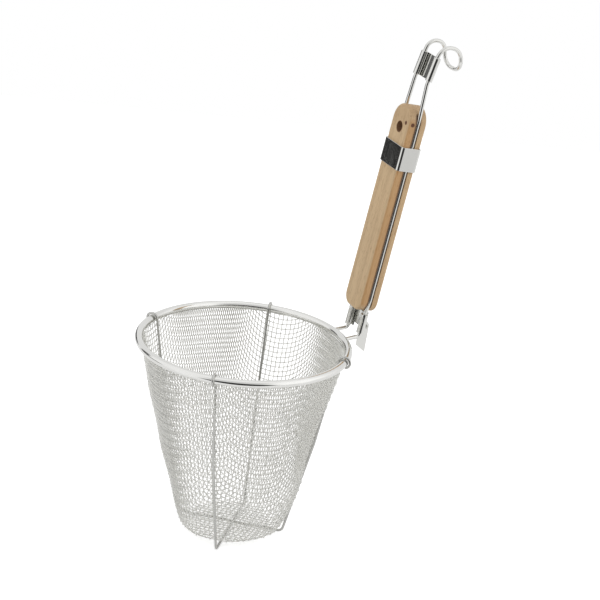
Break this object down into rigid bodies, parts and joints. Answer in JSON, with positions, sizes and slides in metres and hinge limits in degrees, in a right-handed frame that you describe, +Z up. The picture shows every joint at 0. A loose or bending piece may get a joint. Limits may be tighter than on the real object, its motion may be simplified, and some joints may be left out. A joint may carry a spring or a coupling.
{
  "type": "noodle strainer",
  "caption": "Deep conical wire-mesh strainer with a rolled rim, crossed support wires, a hook for a pot's edge and a long wire handle holding a wooden grip under a sliding band.",
  "frame": {"origin": "middle of the pot hook's straight inner face, which bears on the outside of a pot's wall", "axes": "+Z up along the basket's axis, +X from the basket towards the handle, +Y to the left of someone who looks along +X"},
  "size_m": [0.2193, 0.1518, 0.3555],
  "materials": {
    "steel_wire": "bright drawn stainless wire",
    "polished_rim": "polished stainless strip",
    "woven_mesh": "bright woven stainless wire",
    "sheet_steel": "bright rolled sheet",
    "wood": "smooth unvarnished pale wood"
  },
  "bodies": {
    "strainer": {"frame_wire": "steel_wire", "rim_bead": "polished_rim", "mesh_basket": "woven_mesh", "support_wire_a": "steel_wire", "support_wire_b": "steel_wire", "pot_hook_plate": "sheet_steel", "wooden_grip": "wood", "hook_clip": "sheet_steel"},
    "band": {"retaining_band": "sheet_steel"}
  },
  "joints": [
    {"name": "band_slide", "type": "slide", "parent": "strainer", "child": "band", "axis": [0.1736, 0, 0.9848], "range_m": [-0.092, 0.047]}
  ]
}
